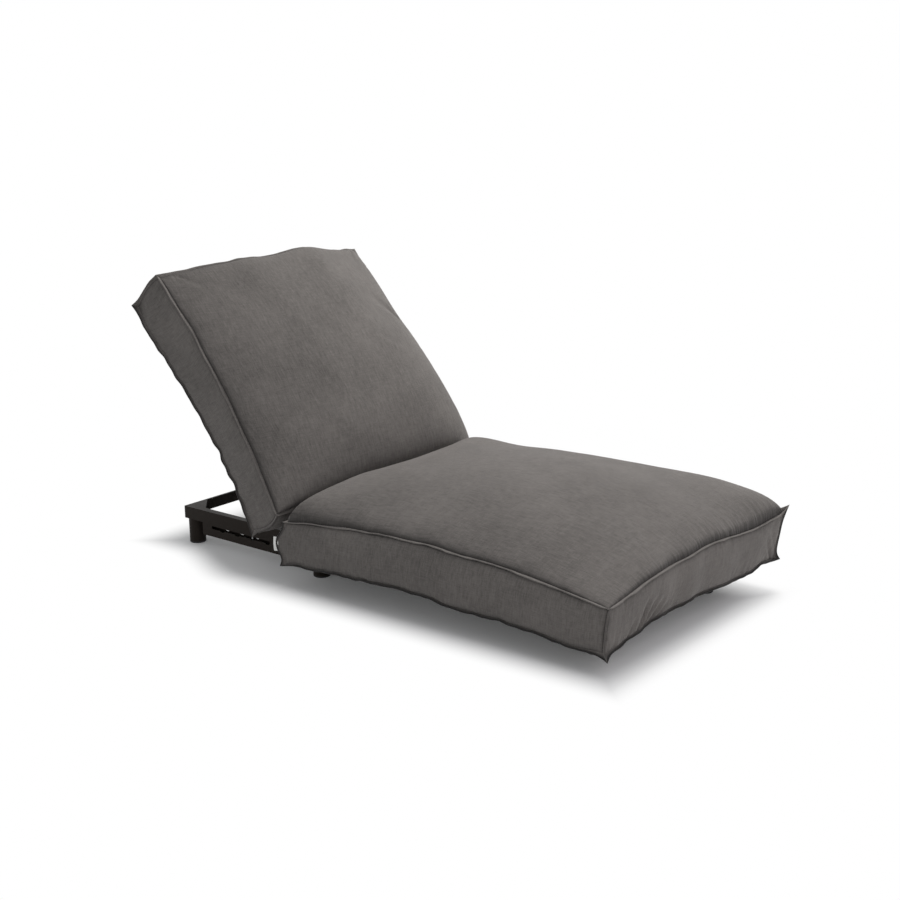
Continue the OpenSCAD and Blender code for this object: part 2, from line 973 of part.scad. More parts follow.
// A blank loop of ribbon, sewn into the seat cushion's upright seam at the rear left corner
module seat_label() {
    middle_share = (label_z + label_h / 2 + seat_droop_h - rail_top) / (seat_edge_h + seat_droop_h);
    bulge_share = 4 * middle_share * (1 - middle_share);
    seam_y = seat_foot_y + seat_len - seat_lean_len * middle_share + seat_corner_bulge_w * bulge_share;
    width = 2 * label_t + label_gap;
    color(label_color)
        translate([-cushion_w / 2, seam_y, label_z])
            rotate([0, 0, label_turn])
                difference() {
                    translate([-width / 2, -label_sewn_len, 0])
                        cube([width, label_len + label_sewn_len, label_h]);
                    translate([-label_gap / 2, -label_sewn_len - over, -over])
                        cube([label_gap, label_len + label_sewn_len - label_t + over, label_h + 2 * over]);
                }
}

side_rail_left();
side_rail_right();
head_bar();
foot_bar();
cross_tubes();
corner_gussets();
corner_leg_plates();
mid_leg_plates();
legs();
leg_glides();
leg_bolts();
seat_slats();
seat_hook_strips();
hinge_bolts();
hinge_nuts();
hinge_plates();
hinge_bushes();
back_tube_left();
back_tube_right();
back_top_tube();
back_bottom_tube();
tube_caps();
back_slats();
back_hook_strips();
pivot_bolts();
pivot_nuts();
pivot_washers();
strut_arm_left();
strut_arm_right();
strut_brace();
strut_rod();
pivot_bushes();
rod_sleeves();
seat_cushion();
seat_label();
back_cushion();
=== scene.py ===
"""Looks of the spa lounger: two flanged box cushions on a powder coated frame.

The cushions are sewn in code from their seams. Each panel is spanned between four seams, swells
between them, and is puckered and creased where the cover is drawn together. A doubled flange
stands on every seam and ends in a small ear at each corner.
"""

import json

import bmesh
import bpy
import numpy as np
from mathutils import Matrix, Vector


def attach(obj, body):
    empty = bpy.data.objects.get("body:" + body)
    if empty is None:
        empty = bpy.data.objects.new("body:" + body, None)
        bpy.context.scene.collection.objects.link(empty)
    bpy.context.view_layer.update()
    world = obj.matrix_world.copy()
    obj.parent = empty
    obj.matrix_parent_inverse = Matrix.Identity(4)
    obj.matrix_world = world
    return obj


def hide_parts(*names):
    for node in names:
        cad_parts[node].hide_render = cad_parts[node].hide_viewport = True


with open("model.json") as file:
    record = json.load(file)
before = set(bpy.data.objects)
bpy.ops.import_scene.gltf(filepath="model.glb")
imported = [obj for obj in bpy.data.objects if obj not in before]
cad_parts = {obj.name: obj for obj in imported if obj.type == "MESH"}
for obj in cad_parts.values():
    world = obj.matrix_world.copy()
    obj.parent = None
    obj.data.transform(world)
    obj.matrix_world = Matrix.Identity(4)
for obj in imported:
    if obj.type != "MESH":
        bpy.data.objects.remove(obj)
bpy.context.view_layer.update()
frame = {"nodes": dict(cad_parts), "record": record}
nodes = frame["nodes"]
joints = {joint["name"]: joint for joint in frame["record"]["behaviour"]["joints"]}
bpy.ops.object.select_all(action="DESELECT")

MM = 0.001


# Camera, at the photograph's viewing angle

def add_camera():
    """Stands where the photograph was taken from, by a fit to its frame, legs and cushion corners."""
    azimuth, elevation, roll = np.radians([-50.775, 14.708, -0.838])
    target = Vector((572.607, 457.0, 200.0)) * MM
    distance = 5374.08
    sensor, focal_pixels, photo_pixels = 36, 1461.54, 900
    back = Vector((
        np.sin(azimuth) * np.cos(elevation),
        -np.cos(azimuth) * np.cos(elevation),
        np.sin(elevation),
    ))
    right = (-back).cross(Vector((0, 0, 1))).normalized()
    up = right.cross(-back)
    turned_right = right * np.cos(roll) + up * np.sin(roll)
    turned_up = up * np.cos(roll) - right * np.sin(roll)
    place = target + back * distance * MM
    matrix = Matrix((turned_right, turned_up, back)).transposed().to_4x4()
    matrix.translation = place
    bpy.ops.object.camera_add()
    camera = bpy.context.object
    camera.name = "photo_camera"
    camera.matrix_world = matrix
    camera.data.sensor_width = sensor
    camera.data.lens = sensor * focal_pixels / photo_pixels
    camera.data.clip_end = 60
    bpy.context.scene.camera = camera


add_camera()


# Shader writing

class Val:
    """A socket of a node, on which Python's arithmetic adds Math nodes."""

    def __init__(self, tree, socket):
        self.tree = tree
        self.socket = socket

    def math(self, operation, *others, clamp=False):
        """The result of one Math node, kept between 0 and 1 if clamp is set."""
        node = self.tree.nodes.new("ShaderNodeMath")
        node.operation = operation
        node.use_clamp = clamp
        for slot, value in zip(node.inputs, (self, *others)):
            put(self.tree, slot, value)
        return Val(self.tree, node.outputs[0])

    def __add__(self, other):
        return self.math("ADD", other)

    __radd__ = __add__

    def __mul__(self, other):
        return self.math("MULTIPLY", other)

    def __sub__(self, other):
        return self.math("SUBTRACT", other)


def put(tree, slot, value):
    """Links a socket to a value, or sets it."""
    if isinstance(value, Val):
        tree.links.new(value.socket, slot)
    else:
        slot.default_value = value


class Finish:
    """A material under construction."""

    def __init__(self, name, roughness, **fixed):
        self.material = bpy.data.materials.new(name)
        self.material.use_nodes = True
        self.tree = self.material.node_tree
        self.shader = self.tree.nodes["Principled BSDF"]
        self.set("Roughness", roughness)
        for socket, value in fixed.items():
            self.set(socket.replace("_", " "), value)

    def set(self, socket, value):
        put(self.tree, self.shader.inputs[socket], value)

    def node(self, kind, output=0, settings=(), **inputs):
        made = self.tree.nodes.new(kind)
        for key, value in dict(settings).items():
            setattr(made, key, value)
        for socket, value in inputs.items():
            put(self.tree, made.inputs[socket.replace("_", " ")], value)
        return Val(self.tree, made.outputs[output])

    def own_place(self):
        """Where a point lies in the object's own coordinates."""
        return self.node("ShaderNodeTexCoord", output="Object")

    def attribute(self, name):
        """A number that the mesh carries at each point."""
        return self.node("ShaderNodeAttribute", settings={"attribute_name": name}, output=2)

    def noise(self, where, scale, stretch=(1, 1, 1), detail=3.0, rough=0.55):
        place = self.node("ShaderNodeMapping", Vector=where, Scale=stretch)
        return self.node("ShaderNodeTexNoise", Vector=place, Scale=scale, Detail=detail, Roughness=rough)

    def colour_between(self, low, high, share):
        made = self.tree.nodes.new("ShaderNodeMix")
        made.data_type = "RGBA"
        put(self.tree, made.inputs["Factor"], share)
        put(self.tree, made.inputs["A"], (*low, 1) if isinstance(low, tuple) else low)
        put(self.tree, made.inputs["B"], (*high, 1) if isinstance(high, tuple) else high)
        return Val(self.tree, made.outputs["Result"])

    def bump(self, height, distance, strength=1.0):
        self.set("Normal", self.node("ShaderNodeBump", Height=height, Distance=distance, Strength=strength))


def cover_fabric():
    """Dark warm grey outdoor fabric of mixed yarns, with fine streaks along and across. Painted shade darkens
    it next to the seams and on the darker flanges, and a painted highlight lightens the top flanges.
    """
    # The last colour is the near black of the painted shade along the seams and on the dark flanges
    dark_yarn, light_yarn, painted_shadow_black = (0.082, 0.0755, 0.071), (0.182, 0.1675, 0.157), (0.018, 0.017, 0.017)
    weave_height, crumple_height = 0.0003, 0.011
    cloth = Finish("cover_fabric", 0.86)
    cloth.set("Sheen Weight", 0.25)
    cloth.set("Sheen Roughness", 0.45)
    cloth.set("Sheen Tint", (0.75, 0.72, 0.7, 1))
    cloth.set("Specular IOR Level", 0.2)
    where = cloth.node("ShaderNodeUVMap", settings={"uv_map": "cloth"})
    # The cloth is laid out in metres, so a stretch is the number of streaks to a metre each way
    along = cloth.noise(where, 1.0, (420, 34, 1), 4.0, 0.6)
    across = cloth.noise(where, 1.0, (34, 420, 1), 4.0, 0.6)
    yarn = cloth.noise(where, 520.0, detail=2.0)
    broad = cloth.noise(where, 5.0, detail=3.0)
    slub_along = cloth.noise(where, 1.0, (170, 11, 1), 3.0, 0.65)
    slub_across = cloth.noise(where, 1.0, (11, 170, 1), 3.0, 0.65)
    fleck = cloth.noise(where, 1.0, (95, 30, 1), 3.5, 0.75)
    # Painted shade near the seams and on the dark flanges, and a painted highlight on the light flanges, as
    # the mesh carries it; it shifts the yarn mix darker or lighter
    seam = cloth.attribute("painted_seam_shade")
    share = (
        (along - 0.5) * 1.1 + (across - 0.5) * 0.8 + (yarn - 0.5) * 0.9 + (broad - 0.5) * 0.85
        + (slub_along - 0.5) * 0.55 + (slub_across - 0.5) * 0.4 + (fleck - 0.5) * 0.9 - seam * 0.5 + 0.5
    ).math("ADD", 0.0, clamp=True)
    plain = cloth.colour_between(dark_yarn, light_yarn, share)
    # Painted shade: the colour is drawn towards near black next to the seams and on the dark flanges
    painted_shadow_share = (seam * 0.6).math("ADD", 0.0, clamp=True)
    cloth.set("Base Color", cloth.colour_between(plain, painted_shadow_black, painted_shadow_share))
    cloth.set("Roughness", 0.8 + yarn * 0.14)
    warp, weft = (
        cloth.node("ShaderNodeTexWave", Vector=where, Scale=230.0, Distortion=1.2, Detail=1.0,
                   settings={"bands_direction": direction}, output=1)
        for direction in ("X", "Y")
    )
    weave = (warp * 0.35 + weft * 0.35 + yarn * 0.6 + along * 0.5) * weave_height
    gathers_u = cloth.attribute("gathers_u")
    gathers_v = cloth.attribute("gathers_v")
    crumple_u = cloth.noise(where, 1.0, (46, 7, 1), 2.5, 0.5)
    crumple_v = cloth.noise(where, 1.0, (7, 46, 1), 2.5, 0.5)
    crumples = (gathers_u * (crumple_u - 0.5) + gathers_v * (crumple_v - 0.5)) * crumple_height
    cloth.bump(weave + crumples, 1.0)
    return cloth.material


def powder_coat():
    """Near black powder coat with a fine orange peel and faint wear."""
    coat = Finish("powder_coat", 0.42)
    coat.set("Specular IOR Level", 0.17)
    coat.set("Specular Tint", (1.0, 0.87, 0.79, 1))
    where = coat.own_place()
    peel = coat.noise(where, 900.0, detail=2.0)
    broad = coat.noise(where, 9.0, detail=4.0)
    coat.set("Base Color", coat.colour_between((0.0125, 0.0098, 0.0078), (0.0205, 0.0168, 0.0138), broad))
    coat.set("Roughness", 0.4 + broad * 0.16 + peel * 0.06)
    coat.bump(peel, 0.00025, 0.6)
    return coat.material


def zinc_steel():
    """Zinc plated fixings, faintly streaked."""
    steel = Finish("zinc_steel", 0.34, Metallic=1.0)
    where = steel.own_place()
    streak = steel.noise(where, 60.0, (1, 12, 12), 4.0)
    steel.set("Base Color", steel.colour_between((0.36, 0.36, 0.37), (0.56, 0.56, 0.55), streak))
    steel.set("Roughness", 0.26 + streak * 0.2)
    steel.bump(streak, 0.0001, 0.4)
    return steel.material


def black_nylon():
    """Moulded black nylon with a fine matt grain."""
    nylon = Finish("black_nylon", 0.6)
    where = nylon.own_place()
    grain = nylon.noise(where, 1400.0, detail=2.0)
    nylon.set("Base Color", nylon.colour_between((0.008, 0.008, 0.008), (0.016, 0.016, 0.017), grain))
    nylon.set("Roughness", 0.5 + grain * 0.2)
    nylon.bump(grain, 0.0002, 0.5)
    return nylon.material


def hook_tape():
    """Black hook tape: rows of tiny hooks."""
    tape = Finish("hook_tape", 0.8)
    where = tape.own_place()
    hooks = tape.node("ShaderNodeTexVoronoi", Vector=where, Scale=620.0)
    tape.set("Base Color", tape.colour_between((0.006, 0.006, 0.006), (0.03, 0.03, 0.03), hooks))
    tape.set("Roughness", 0.7 + hooks * 0.2)
    tape.bump(hooks, 0.0006, 0.8)
    return tape.material


def label_ribbon():
    """Blank white woven ribbon."""
    ribbon = Finish("label_ribbon", 0.55)
    ribbon.set("Sheen Weight", 0.15)
    where = ribbon.own_place()
    weave = ribbon.noise(where, 1.0, (500, 500, 2600), 2.0)
    ribbon.set("Base Color", ribbon.colour_between((0.72, 0.72, 0.70), (0.86, 0.86, 0.84), weave))
    ribbon.set("Roughness", 0.5 + weave * 0.15)
    ribbon.bump(weave, 0.0002, 0.6)
    return ribbon.material


finishes = {
    "frame": powder_coat(),
    "steel": zinc_steel(),
    "plastic": black_nylon(),
    "hook": hook_tape(),
    "cover": cover_fabric(),
    "label": label_ribbon(),
}
for entry in frame["record"]["subparts"]:
    node_mesh = nodes[entry["node"]].data
    node_mesh.materials.clear()
    node_mesh.materials.append(finishes[entry["material_slot"]])


# Sewing

def ease(t, low, high):
    """Goes smoothly from 0 at low to 1 at high."""
    s = np.clip((t - low) / (high - low), 0, 1)
    return s * s * (3 - 2 * s)


def ripple(t, rng, shortest, longest, length, count=9):
    """A smooth random wave along a length, about -1 to 1."""
    wave = np.zeros_like(t)
    for _ in range(count):
        span = np.exp(rng.uniform(np.log(shortest), np.log(longest)))
        wave += np.sin(2 * np.pi * (t * length / span + rng.uniform())) * (span / longest) ** 0.5
    return wave / np.sqrt(count / 2) / 1.2


def through(points, at):
    """A smooth curve through a few points, given in mm and read at places in metres."""
    places, values = np.array(points, float).T * MM
    slopes = np.gradient(values, places)
    k = np.clip(np.searchsorted(places, at) - 1, 0, len(places) - 2)
    gap = places[k + 1] - places[k]
    t = np.clip((at - places[k]) / gap, 0, 1)
    return (
        (1 + 2 * t) * (1 - t) ** 2 * values[k] + t * (1 - t) ** 2 * gap * slopes[k]
        + t * t * (3 - 2 * t) * values[k + 1] + t * t * (t - 1) * gap * slopes[k + 1]
    )


def arch(t, skew=0.0):
    """Rises from 0 at both ends to 1 at the middle, leaning to the start for a positive skew."""
    return 4 * t * (1 - t) * (1 + skew * (1 - 2 * t))


def swell(t, powers=0.6):
    """How full a panel is across its width. Small powers make it steep near its seams and flat between."""
    first, last = np.broadcast_to(powers, 2)
    return np.clip(4 * t * (1 - t), 0, 1) ** np.where(t < 0.5, first, last)


def steps(count):
    """Grid steps from 0 to 1, closer together towards both ends."""
    even = np.linspace(-1, 1, count + 1)
    return 0.5 + 0.5 * (0.4 * even + 0.6 * np.sin(even * np.pi / 2))


# Steps across a cushion, along it and up its uprights, and the grid for each number of points
COUNTS = (170, 196, 24)
GRID = {count + 1: steps(count) for count in COUNTS}
ACROSS, ALONG, UPRIGHT = (GRID[count + 1] for count in COUNTS)


def puckers(along, away, length, rng, depth, density=24, reach=42 * MM):
    """Short creases that run from a seam into the panel, most of them near the corners."""
    corner_reach, spread, seam_gap = 0.09, 0.05, 0.004
    field = np.zeros_like(away)
    for _ in range(int(length * density)):
        middle = rng.uniform(0, length)
        nearness = np.exp(-min(middle, length - middle) / corner_reach)
        if rng.uniform() > 0.35 + 0.65 * nearness:
            continue
        width = rng.uniform(4, 11) * MM
        run = reach * rng.uniform(0.35, 1.1) * (1 + 0.8 * nearness)
        lean = rng.normal(0, 0.22)
        size = depth * rng.uniform(0.3, 1.0) * (1 + 0.6 * nearness)
        size *= rng.choice([-1, 1], p=[0.62, 0.38])
        across = (along - middle - lean * away) / (width * (1 + away / spread))
        field += size * np.exp(-across ** 2) * np.exp(-(away / run) ** 2) * (1 - np.exp(-away / seam_gap))
    return field


def mottle(u, v, rng, shortest, longest, count=26):
    """Broad soft dents over a panel, about -1 to 1."""
    field = np.zeros_like(u)
    for _ in range(count):
        span = np.exp(rng.uniform(np.log(shortest), np.log(longest)))
        turn, phase = rng.uniform(0, 2 * np.pi), rng.uniform()
        along = (u * np.cos(turn) + v * np.sin(turn)) / span
        field += np.sin(2 * np.pi * (along + phase)) * (span / longest)
    return field / np.sqrt(count)


def span_panel(low_u, high_u, low_v, high_v):
    """A panel between four seams: low_u and high_u run along v, low_v and high_v along u."""
    nu, nv = len(low_v), len(low_u)
    u = GRID[nu][:, None, None]
    v = GRID[nv][None, :, None]
    ruled = (1 - u) * low_u[None, :] + u * high_u[None, :] + (1 - v) * low_v[:, None] + v * high_v[:, None]
    corners = (
        (1 - u) * (1 - v) * low_u[0] + (1 - u) * v * low_u[-1]
        + u * (1 - v) * high_u[0] + u * v * high_u[-1]
    )
    return ruled - corners


def cloth_lengths(points):
    """Where each point of a grid lies on the flat cloth, measured along the grid's lines."""
    flat = np.zeros(points.shape[:2] + (2,))
    flat[1:, :, 0] = np.cumsum(np.linalg.norm(np.diff(points, axis=0), axis=2), axis=0)
    flat[:, 1:, 1] = np.cumsum(np.linalg.norm(np.diff(points, axis=1), axis=2), axis=1)
    return flat


class Panel:
    """How one panel of a cushion swells and creases. u and v go from 0 to 1 between its seams.

    full, mottled and creased are heights in mm.
    dome is the steepness along u and v, and how far the swelling leans to the ends of u and v.
    gathers are bands of crumpling: the seam, where the band starts and stops, its strength, its reach in mm.
    folds are creases, all in mm: start along u and v, end along u and v, width and height.
    puffs are fuller or flatter places: middle in u and v, width in u and v, and height in mm.
    """

    def __init__(self, full=0.0, dome=(0.6, 0.6, 0, 0), mottled=0.0, creased=0.0,
                 gathers=(), folds=(), puffs=()):
        self.full = full * MM
        self.dome = dome
        self.mottled = mottled * MM
        self.creased = creased * MM
        self.gathers = gathers
        self.folds = folds
        self.puffs = puffs

    def lift(self, u, v, length_u, length_v, rng):
        """Height over the panel's plain surface."""
        power_u, power_v, lean_u, lean_v = self.dome
        lift = self.full * swell(u, power_u) * swell(v, power_v)
        lift = lift * (1 + lean_u * (2 * u - 1) + lean_v * (2 * v - 1))
        for middle_u, middle_v, wide_u, wide_v, height in self.puffs:
            near = np.exp(-((u - middle_u) / wide_u) ** 2 - ((v - middle_v) / wide_v) ** 2)
            lift = lift + height * MM * near * swell(u, 0.2) * swell(v, 0.2)
        fade = np.minimum(1, swell(u) * swell(v) * 1.2)
        lift = lift + self.mottled * fade * mottle(u * length_u, v * length_v, rng, 0.09, 0.42)
        # Creases run in from all four seams
        for along, away, length in (
            (v * length_v, u * length_u, length_v), (v * length_v, (1 - u) * length_u, length_v),
            (u * length_u, v * length_v, length_u), (u * length_u, (1 - v) * length_v, length_u),
        ):
            lift = lift + puckers(along, away, length, rng, self.creased)
        near_seam = swell(u, 0.3) * swell(v, 0.3)
        for start_u, start_v, end_u, end_v, width, depth in np.array(self.folds, float).reshape(-1, 6) * MM:
            across, ahead = end_u - start_u, end_v - start_v
            run = np.hypot(across, ahead)
            at_u, at_v = u * length_u - start_u, v * length_v - start_v
            along = np.clip((at_u * across + at_v * ahead) / run ** 2, 0, 1)
            away = np.hypot(at_u - along * across, at_v - along * ahead)
            fold = depth * np.exp(-(away / (width * (0.5 + along))) ** 2) * (1 - along) ** 0.7
            lift = lift + fold * near_seam
        edge = (u == 0) | (u == 1) | (v == 0) | (v == 1)
        return np.where(edge, 0, lift)

    def gathered(self, u, v, length_u, length_v):
        """How much the cover crumples across the seams along u and along v, and how near a seam is, which
        sets the painted shade along the seams.
        """
        everywhere, near, soft, seam_width = 0.26, 0.03, 0.08, 3.5 * MM
        along_u = everywhere * (np.exp(-v * length_v / near) + np.exp(-(1 - v) * length_v / near))
        along_v = everywhere * (np.exp(-u * length_u / near) + np.exp(-(1 - u) * length_u / near))
        for edge, start, stop, strength, reach in self.gathers:
            away = {"low_u": u * length_u, "high_u": (1 - u) * length_u,
                    "low_v": v * length_v, "high_v": (1 - v) * length_v}[edge]
            along = u if edge.endswith("v") else v
            rise, fall = (ease(along, place - soft, place + soft) for place in (start, stop))
            band = strength * rise * (1 - fall) * np.exp(-away / (reach * MM))
            if edge.endswith("v"):
                along_u = along_u + band
            else:
                along_v = along_v + band
        # Nearness to a seam, which the fabric darkens as painted shade
        away = np.minimum(np.minimum(u, 1 - u) * length_u, np.minimum(v, 1 - v) * length_v)
        return along_u, along_v, np.exp(-away / seam_width)


class Cushion:
    """A flanged box cushion, sewn from its seams in its own frame: x across, y along, z thick.

    The numbers given for the seams' flanges are painted shade: each darkens its flange, and a number below 0
    paints it lighter than the panels, as a painted highlight.
    """

    # The seams round each panel, at low u, high u, low v and high v, and its way out
    PANELS = {
        "top": ("top_left", "top_right", "top_foot", "top_head", (0, 0, 1)),
        "bottom": ("low_left", "low_right", "low_foot", "low_head", (0, 0, -1)),
        "left": ("foot_left", "head_left", "low_left", "top_left", (-1, 0, 0)),
        "right": ("foot_right", "head_right", "low_right", "top_right", (1, 0, 0)),
        "foot": ("foot_left", "foot_right", "low_foot", "top_foot", (0, -1, 0)),
        "head": ("head_left", "head_right", "low_head", "top_head", (0, 1, 0)),
    }
    # The way that each side of the cushion faces
    OUT = {
        "left": (-1, 0, 0), "right": (1, 0, 0), "foot": (0, -1, 0), "head": (0, 1, 0),
        "top": (0, 0, 1), "low": (0, 0, -1),
    }
    # How far an ear sticks out each way where none is given, in mm
    PLAIN_EAR = 9
    # The flange in cross section: how far out each point lies, and how far to the side of the middle
    SECTION = np.array([
        (-0.35, -0.8), (0.12, -0.7), (0.4, -0.75), (0.8, -1.05), (0.98, -0.6),
        (0.98, 0.6), (0.8, 1.05), (0.4, 0.75), (0.12, 0.7), (-0.35, 0.8),
    ])
    # How far the flanges of the top and the low seams turn up or down
    TURN = {"top": 0.2, "low": 0.6}
    # The number that marks the faces of the flanges, after those of the panels
    FLANGE = 10

    def __init__(self, name, seed, seams, panels, ears, place, shapes, painted_flange_shades):
        self.name = name
        self.painted_flange_shades = painted_flange_shades
        self.rng = np.random.default_rng(seed)
        self.seams = seams
        self.panels = panels
        self.ears = ears
        self.place = place
        self.shapes = shapes
        self.mesh = bmesh.new()
        self.part = self.mesh.faces.layers.int.new("part")
        self.cloth = self.mesh.loops.layers.uv.new("cloth")
        # Fields that the fabric reads: crumpling each way, and painted shade and painted highlight along the
        # seams and flanges
        layers = self.mesh.verts.layers.float
        self.layers = [layers.new(field) for field in ("gathers_u", "gathers_v", "painted_seam_shade")]

    def add_grid(self, points, uv, part, fields, closed=False):
        """Faces between rows of points. uv is their place on the cloth, fields are what the fabric reads."""
        rows, cols = points.shape[:2]
        verts = [[self.mesh.verts.new(point) for point in row] for row in points]
        for layer, field in zip(self.layers, fields):
            for row, values in zip(verts, field):
                for vert, value in zip(row, values):
                    vert[layer] = value
        for i in range(rows - 1):
            for j in range(cols if closed else cols - 1):
                k = (j + 1) % cols
                face = self.mesh.faces.new((verts[i][j], verts[i + 1][j], verts[i + 1][k], verts[i][k]))
                face[self.part] = part
                face.smooth = True
                for loop, (a, b) in zip(face.loops, ((i, j), (i + 1, j), (i + 1, j + 1), (i, j + 1))):
                    loop[self.cloth].uv = uv[a][b]
        return verts

    def sew_panels(self):
        for part, (name, (*around, out)) in enumerate(self.PANELS.items()):
            low_u, high_u, low_v, high_v = (self.seams[seam] for seam in around)
            panel = self.panels[name]
            rng = np.random.default_rng(self.rng.integers(1 << 30))
            points = span_panel(low_u, high_u, low_v, high_v)
            u, v = np.meshgrid(GRID[points.shape[0]], GRID[points.shape[1]], indexing="ij")
            length_u = np.linalg.norm(low_v[-1] - low_v[0])
            length_v = np.linalg.norm(low_u[-1] - low_u[0])
            points = points + panel.lift(u, v, length_u, length_v, rng)[..., None] * np.array(out)
            points[1:-1, 1:-1] = self.shapes.get(name, lambda plain: plain)(points[1:-1, 1:-1])
            uv = cloth_lengths(points) + rng.uniform(0, 3, 2)
            self.add_grid(points, uv, part, panel.gathered(u, v, length_u, length_v))

    def ear(self, seam, at_end):
        """The ear at one end of a seam, from the corner to the ear's tip."""
        first, second = seam.split("_")
        if first in ("foot", "head"):
            corner = (second, first, "top" if at_end else "low")
        elif second in ("left", "right"):
            corner = (second, "head" if at_end else "foot", first)
        else:
            corner = ("right" if at_end else "left", second, first)
        plain = sum(np.array(self.OUT[way], float) for way in corner) * self.PLAIN_EAR
        return np.array(self.ears.get("_".join(corner), plain), float) * MM

    def sew_flanges(self, width=10.5 * MM, thick=1.8 * MM, near=15 * MM):
        """A doubled flange on each seam, which runs out into an ear at each corner."""
        section, girth, spacing, fewest = self.SECTION, 0.026, 0.0055, 28
        for name, seam in self.seams.items():
            rng = np.random.default_rng(self.rng.integers(1 << 30))
            first, second = name.split("_")
            upright = first in ("foot", "head")
            out = [np.array(self.OUT[first], float), np.array(self.OUT[second], float)]
            way = out[1] + self.TURN.get(first, 1.0) * out[0]
            # How much painted shade darkens this flange, 0.25 where no number is given; below 0 it is a
            # painted highlight
            shade = self.painted_flange_shades.get(name, self.painted_flange_shades.get(first, 0.25))
            line, at = respaced(seam, spacing, fewest)
            length = at[-1]
            t = at / length
            lean = 0.2 * ripple(t, rng, 0.05, 0.4, length)
            aim = way[None] + lean[:, None] * (out[0] if not upright else out[1])[None]
            aim /= np.linalg.norm(aim, axis=1)[:, None]
            size = width * (1 + 0.1 * ripple(t, rng, 0.04, 0.2, length)) * (0.85 if upright else 1.0)
            ends = [np.exp(-(away / near) ** 1.3) for away in (at, length - at)]
            reach = aim * (size * (1 - ends[0] - ends[1]))[:, None]
            for share, tip in zip(ends, (self.ear(name, False), self.ear(name, True))):
                reach = reach + share[:, None] * tip
            forward = np.gradient(line, axis=0)
            side = np.cross(forward, reach)
            side /= np.linalg.norm(side, axis=1)[:, None]
            half = thick * (1 + 0.12 * ripple(t, rng, 0.02, 0.08, length)) * (1 - 0.3 * (ends[0] + ends[1]))
            points = (
                line[:, None]
                + reach[:, None] * section[None, :, :1]
                + side[:, None] * half[:, None, None] * section[None, :, 1:]
            )
            around = np.linspace(0, girth, points.shape[1] + 1)
            uv = np.stack(np.meshgrid(around, at), -1) + rng.uniform(0, 3, 2)
            plain = np.zeros(points.shape[:2])
            # Painted shade, darkest at the flange's outer edge; where the number is below 0, a painted
            # highlight lightens the whole flange
            dark = np.clip(1.6 * section[:, 0] - 0.4, 0, 1) if shade > 0 else 1
            fields = (plain, plain, plain + shade * dark)
            verts = self.add_grid(points, uv, self.FLANGE, fields, closed=True)
            for ring in (verts[0], verts[-1]):
                cap = self.mesh.faces.new(ring)
                cap[self.part] = self.FLANGE
                cap.smooth = True

    def finish(self, body, node):
        """Closes the mesh, makes the object and says what it stands for."""
        bmesh.ops.remove_doubles(self.mesh, verts=self.mesh.verts, dist=1e-6)
        for edge in self.mesh.edges:
            faces = edge.link_faces
            if len(faces) == 2 and faces[0][self.part] != faces[1][self.part]:
                edge.smooth = False
        bmesh.ops.recalc_face_normals(self.mesh, faces=self.mesh.faces)
        self.mesh.transform(self.place)
        data = bpy.data.meshes.new(self.name)
        self.mesh.to_mesh(data)
        self.mesh.free()
        made = bpy.data.objects.new(self.name, data)
        bpy.context.scene.collection.objects.link(made)
        data.materials.append(finishes["cover"])
        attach(made, body)
        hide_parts(node)


def respaced(seam, spacing, fewest):
    """A seam with points at even distances, and these distances from its start."""
    gaps = np.linalg.norm(np.diff(seam, axis=0), axis=1)
    run = np.concatenate([[0], np.cumsum(gaps)])
    at = np.linspace(0, run[-1], max(fewest, int(run[-1] / spacing)))
    return np.stack([np.interp(at, run, seam[:, k]) for k in range(3)], -1), at


def line_between(start, end, t):
    """A straight seam, with a point for each step."""
    start, end = np.array(start, float), np.array(end, float)
    return start + (end - start) * t[:, None]


def wavy(line, t, rng, axis, size, shortest, longest):
    """Moves a seam to and fro along an axis, but not at its ends."""
    length = np.linalg.norm(line[-1] - line[0])
    wave = ripple(t, rng, shortest, longest, length) * size * np.minimum(1, 6 * t * (1 - t))
    return line + wave[:, None] * np.array(axis, float)


# The seat cushion's low seam at the foot end: places across and heights, in mm
FOOT_LOW = [
    (-463, 80), (-400, 82), (-350, 91), (-280, 98), (-200, 108), (-137, 105), (-38, 108), (25, 103),
    (120, 100), (180, 94), (250, 88), (318, 89), (380, 97), (425, 92), (470, 84),
]
# Its low seams at the sides: places along and heights
SIDE_LOW = [
    (-893, 82), (-849, 80), (-799, 79), (-734, 84), (-669, 90), (-602, 93), (-533, 95), (-464, 94),
    (-392, 96), (-319, 103), (-245, 107), (-169, 109), (-91, 107), (-11, 104), (70, 103), (154, 98),
    (239, 95), (263, 86),
]
# Its top seam at the foot end: places across and heights
FOOT_TOP = [
    (-473, 211), (-430, 214), (-258, 234), (-50, 241), (50, 244), (130, 241), (240, 230), (328, 226),
    (418, 230), (479, 234),
]
# How far its crest in front of the back is raised: places across and heights
CREST = [
    (-490, 80), (-434, 70), (-346, 40), (-208, 5), (-59, -36), (91, -39), (227, -29), (313, -13), (490, 8),
]
# How far its rear upright seams bulge to the head end: heights and bulges
REAR_UPRIGHT = [(84, 0), (106, 5), (124, 20), (142, 31), (165, 33), (190, 19), (210, 7), (226, 0)]


def sew(name, seed, seams, panels, ears, place, shapes, painted_flange_shades, uprights, body, node):
    """Joins the seams at the corners, adds the uprights, and sews the cushion."""
    for end_name, end in (("foot", 0), ("head", -1)):
        for side, corner in (("left", 0), ("right", -1)):
            for level in ("low", "top"):
                across = seams[level + "_" + end_name]
                seams[level + "_" + side][end] = across[corner]
            start, stop = seams["low_" + side][end], seams["top_" + side][end]
            line = line_between(start, stop, UPRIGHT)
            seams[end_name + "_" + side] = line + uprights(end_name, side, line)
    cushion = Cushion(name, seed, seams, panels, ears, place, shapes, painted_flange_shades)
    cushion.sew_panels()
    cushion.sew_flanges()
    cushion.finish(body, node)


